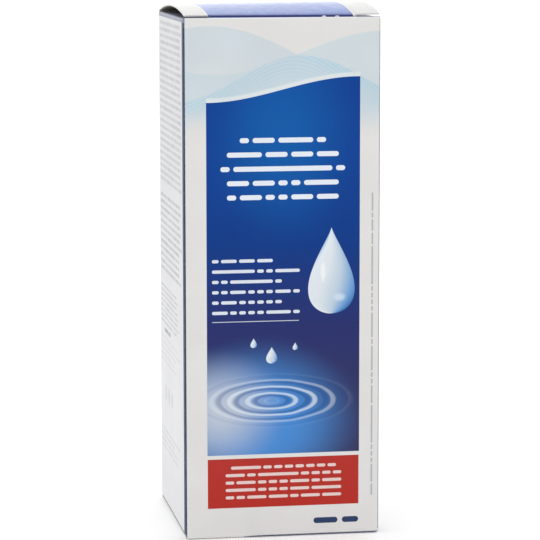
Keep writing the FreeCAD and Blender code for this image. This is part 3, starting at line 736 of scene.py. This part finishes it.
def crease(name, plane, c, a0, a1, s0, s1):
    """Curved strip of board core from body a at angle a0 to body b at a1 about the fold's centre c."""
    n = 12
    rows = [a0 + (a1 - a0) * i / n for i in range(n + 1)]

    def place(deg, r, s):
        p, q = polar(c, r, deg)
        return (s, p, q) if plane == "yz" else (p, s, q)

    verts, faces = [], []
    for deg in rows:
        for r in (0.76, 0.34):
            for s in (s0, s1):
                verts.append(place(deg, r, s))
    for i in range(n):
        k, m = 4 * i, 4 * i + 4
        for p, q in ((0, 1), (1, 3), (3, 2), (2, 0)):
            faces.append([k + p, k + q, m + q, m + p])
    faces.append([0, 2, 3, 1])
    faces.append([4 * n, 4 * n + 1, 4 * n + 3, 4 * n + 2])
    o = solid(name, verts, faces, CREASE, 50.0)
    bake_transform(o)
    return o


crease("crease_top_lid", "yz", C_BACK, 4, 75.6, -34.2, 34.2)
crease("crease_top_tuck", "yz", C_FRONT, 105.4, 186, -26.0, 26.0)
crease("crease_bottom_lid", "yz", (-HD + R_OUT, R_OUT), 184, 266, -34.2, 34.2)
crease("crease_bottom_tuck", "yz", (33.6, R_OUT), 274, 364, -26.0, 26.0)
for side, word in ((-1, "left"), (1, "right")):
    cx = side * (HW - R_OUT)
    for end, zc, far in (("top", Z_SIDE - R_OUT, 90), ("bottom", 1.0 + R_OUT, -90)):
        flat = 4 if end == "top" else -4
        a0 = flat if side > 0 else 180 - flat
        a1 = far - flat if side > 0 else 180 - far + flat
        crease(f"crease_{end}_{word}_dust", "xz", (cx, zc), a0, a1, -33.8, 33.8)


# ------------------------------------------------------------------ bottle and its parts
def plastic(name, colour, shade, rough, ribs=0.0, see=0.0, scatter=0.0):
    """Moulded plastic: slow tone drift, fine texture, scuffs, and a parting line front to back."""
    g = Graph(name)
    cloud = g.noise(0.09, 3.0, 0.55)
    fine = g.noise(3.2, 3.0, 0.6)
    base = g.mix(g.step(cloud, 0.35, 0.7), colour, shade)
    seam = g.inv(g.step(g.m("ABSOLUTE", g.y), 0.05, 0.16))
    base = g.mix(g.mul(seam, 0.25), base, shade)
    scuff = g.step(g.noise(1.6, 3.0, 0.6, stretch=(1.0, 1.0, 0.06)), 0.6, 0.8)
    base = g.mix(g.mul(scuff, 0.05), base, (0.9, 0.9, 0.9, 1.0))
    g.set(Base_Color=base)
    g.set(Roughness=g.add(g.remap(cloud, 0.3, 0.7, rough - 0.04, rough + 0.06), g.mul(scuff, 0.1)))
    g.shader.inputs["IOR"].default_value = 1.5
    if scatter:
        g.shader.inputs["Subsurface Weight"].default_value = scatter
        g.shader.inputs["Subsurface Radius"].default_value = (0.004, 0.0045, 0.005)
        g.shader.inputs["Subsurface Scale"].default_value = 0.6
    if see:
        g.shader.inputs["Transmission Weight"].default_value = see
    g.set(Normal=g.bump(g.add(g.mul(fine, 0.5), g.mul(seam, 0.8)), 0.00004, 0.5))
    return g.mat


white_plastic = plastic("bottle_white", (0.83, 0.845, 0.855, 1), (0.81, 0.828, 0.843, 1), 0.30, scatter=0.2)
insert_plastic = plastic("insert_natural", (0.80, 0.83, 0.85, 1), (0.75, 0.79, 0.83, 1), 0.28, scatter=0.35)
cap_plastic = plastic("cap_blue", ink(34, 62, 138, 1.0), ink(28, 50, 120, 1.0), 0.30)
paint("bottle_body", white_plastic)
paint("dropper_insert", insert_plastic)
paint("screw_cap", cap_plastic)
paint("tamper_band", cap_plastic)


def label(name, seed):
    g = Graph(name)
    x, z = g.x, g.z
    edge = g.add(g.mul(g.m("SINE", g.mul(x, 1.0 / 16.0)), 3.2), 88.0)
    t = g.remap(z, 22.0, 92.0, 0.0, 1.0)
    blue = g.ramp(t, [(0.0, ink(120, 168, 214, 1.0)), (0.35, ink(52, 98, 172, 1.0)), (1.0, ink(28, 70, 150, 1.0))])
    ring_d = g.dist(x, z, 4.0, 34.0, 1.0, 0.36)
    ring = g.mul(g.step(g.m("SINE", g.mul(ring_d, 1.1)), 0.2, 0.95), g.inv(g.step(ring_d, 8.0, 26.0)))
    blue = g.mix(g.mul(ring, 0.4), blue, (0.9, 0.94, 0.97, 1))
    text = g.bars(x, z, -20.0, 20.0, 80.0, 5.0, 4, 1.9, 2.6, seed, "centre", 0.6, 1.1, 0.66)
    text = g.any(text, g.bars(x, z, -20.0, 20.0, 56.0, 2.7, 5, 1.1, 1.8, seed + 9.0, "centre", 0.6, 0.75, 0.66))
    blue = g.mix(text, blue, (0.9, 0.92, 0.94, 1))
    base = g.mix(g.step(g.sub(z, edge), -0.1, 0.1), blue, (0.84, 0.85, 0.86, 1))
    band = g.rect(x, z, -27.5, 27.5, 24.5, 28.0)
    base = g.mix(band, base, ink(176, 58, 52, 1.0))
    cloud = g.noise(0.12, 3.0, 0.5)
    base = g.mix(g.mul(g.step(cloud, 0.45, 0.8), 0.07), base, (0.9, 0.9, 0.9, 1))
    g.set(Base_Color=base)
    g.set(Roughness=g.remap(g.noise(0.05, 2.0, 0.5), 0.3, 0.7, 0.22, 0.3))
    g.set(Normal=g.bump(g.noise(0.12, 1.0, 0.4), 0.00004, 0.2))
    return g.mat


paint("bottle_front_label", label("label_front", 4.0))
paint("bottle_back_label", label("label_back", 44.0))


def liquid():
    g = Graph("clear_liquid")
    c = g.mix(g.noise(0.03, 2.0, 0.5), (0.86, 0.94, 0.98, 1), (0.80, 0.91, 0.97, 1))
    g.set(Base_Color=c)
    g.set(Roughness=g.remap(g.noise(0.02, 1.0, 0.5), 0.0, 1.0, 0.02, 0.06))
    g.shader.inputs["IOR"].default_value = 1.335
    g.shader.inputs["Transmission Weight"].default_value = 0.9
    return g.mat


paint("solution", liquid())


def leaflet():
    g = Graph("leaflet_paper")
    fibre = g.noise(2.2, 5.0, 0.7)
    base = g.mix(g.step(fibre, 0.35, 0.7), (0.80, 0.80, 0.775, 1), (0.74, 0.735, 0.71, 1))
    flat = g.step(g.m("ABSOLUTE", g.ny), 0.6, 0.8)
    text = g.any(
        g.bars(g.x, g.z, -19.5, 19.5, 122.0, 1.7, 40, 0.75, 1.35, 8.0, "left", 0.7, 0.55, 0.62),
        g.bars(g.x, g.z, -19.5, 19.5, 50.0, 1.7, 26, 0.75, 1.35, 21.0, "left", 0.6, 0.55, 0.62),
    )
    base = g.mix(g.mul(text, flat, 0.6), base, (0.2, 0.22, 0.27, 1))
    g.set(Base_Color=base)
    g.set(Roughness=g.remap(fibre, 0.3, 0.7, 0.82, 0.95))
    g.set(Normal=g.bump(fibre, 0.00005, 0.6))
    return g.mat


paint("leaflet", leaflet())

# ------------------------------------------------------------------ floor, light, camera
bm = bmesh.new()
bmesh.ops.create_grid(bm, x_segments=2, y_segments=2, size=15.0)
floor_mesh = bpy.data.meshes.new("floor")
bm.to_mesh(floor_mesh)
bm.free()
floor = bpy.data.objects.new("floor", floor_mesh)
floor.location.z = -0.0002
scene.collection.objects.link(floor)
g = Graph("floor_pale")
g.set(Base_Color=g.mix(g.noise(0.01, 2.0, 0.5), (0.935, 0.935, 0.935, 1), (0.95, 0.95, 0.95, 1)))
g.set(Roughness=g.remap(g.noise(0.02, 2.0, 0.5), 0.3, 0.7, 0.7, 0.8))
# a table top lit a little from below, so that shadows on it stay faint
g.shader.inputs["Emission Color"].default_value = (1.0, 1.0, 1.0, 1.0)
g.shader.inputs["Emission Strength"].default_value = 0.09
floor_mesh.materials.append(g.mat)

world = bpy.data.worlds.new("studio")
scene.world = world
world.use_nodes = True
wt = world.node_tree
sky = wt.nodes["Background"]
way = wt.nodes.new("ShaderNodeTexCoord")
cut = wt.nodes.new("ShaderNodeSeparateXYZ")
wt.links.new(way.outputs["Generated"], cut.inputs[0])


def sky_math(op, a, b=None, clamp=False):
    n = wt.nodes.new("ShaderNodeMath")
    n.operation = op
    n.use_clamp = clamp
    for i, v in enumerate((a, b)):
        if isinstance(v, bpy.types.NodeSocket):
            wt.links.new(v, n.inputs[i])
        elif v is not None:
            n.inputs[i].default_value = v
    return n.outputs[0]


# bright overhead, dim lower down, a white backdrop round the horizon, and a broad soft panel low behind the object
height = sky_math("MAXIMUM", cut.outputs[2], 0.0)
dome = sky_math("ADD", sky_math("MULTIPLY", height, 1.1), 0.27)
backdrop = sky_math("MULTIPLY", sky_math("MULTIPLY", sky_math("SUBTRACT", 0.2, height), 12.5, True), 1.03)
base_light = sky_math("MAXIMUM", dome, backdrop)
behind = sky_math("MULTIPLY", sky_math("SUBTRACT", cut.outputs[1], 0.55), 3.0, True)
panel = sky_math("MULTIPLY", behind, sky_math("MULTIPLY", sky_math("SUBTRACT", 0.62, height), 2.5, True))
wt.links.new(sky_math("ADD", base_light, sky_math("MULTIPLY", panel, 0.85)), sky.inputs[1])
sky.inputs[0].default_value = (1.0, 1.0, 1.0, 1.0)


def lamp(name, at, aim, size, power, colour=(1, 1, 1)):
    d = bpy.data.lights.new(name, "AREA")
    d.shape = "RECTANGLE"
    d.size, d.size_y = size
    d.energy = power
    d.color = colour
    o = bpy.data.objects.new(name, d)
    o.location = at
    o.rotation_euler = (Vector(aim) - Vector(at)).to_track_quat("-Z", "Y").to_euler()
    scene.collection.objects.link(o)
    return o


lamp("softbox_top", (-0.5, -0.3, 1.5), (0, 0, 0.1), (1.6, 1.6), 1.2)

cam_data = bpy.data.cameras.new("camera")
cam = bpy.data.objects.new("camera", cam_data)
scene.collection.objects.link(cam)
AZ, EL, ROLL, DIST, TX, TZ, FOCAL = -9.4226, 7.8, -0.0585, 0.96544, 0.001239, 0.09178, 2620.7
a, e = math.radians(AZ), math.radians(EL)
back = Vector((math.sin(a) * math.cos(e), -math.cos(a) * math.cos(e), math.sin(e)))
right = Vector((math.cos(a), math.sin(a), 0.0))
up = back.cross(right)
rot = Matrix((right, up, back)).transposed()
rot = rot @ Matrix.Rotation(math.radians(ROLL), 3, "Z")
cam.matrix_world = Matrix.Translation(Vector((TX, 0, TZ)) + back * DIST) @ rot.to_4x4()
cam_data.sensor_width = 36.0
cam_data.lens = FOCAL / 540.0 * 36.0
cam_data.clip_end = 60.0
scene.camera = cam

scene.view_settings.view_transform = "Standard"
scene.view_settings.look = "None"
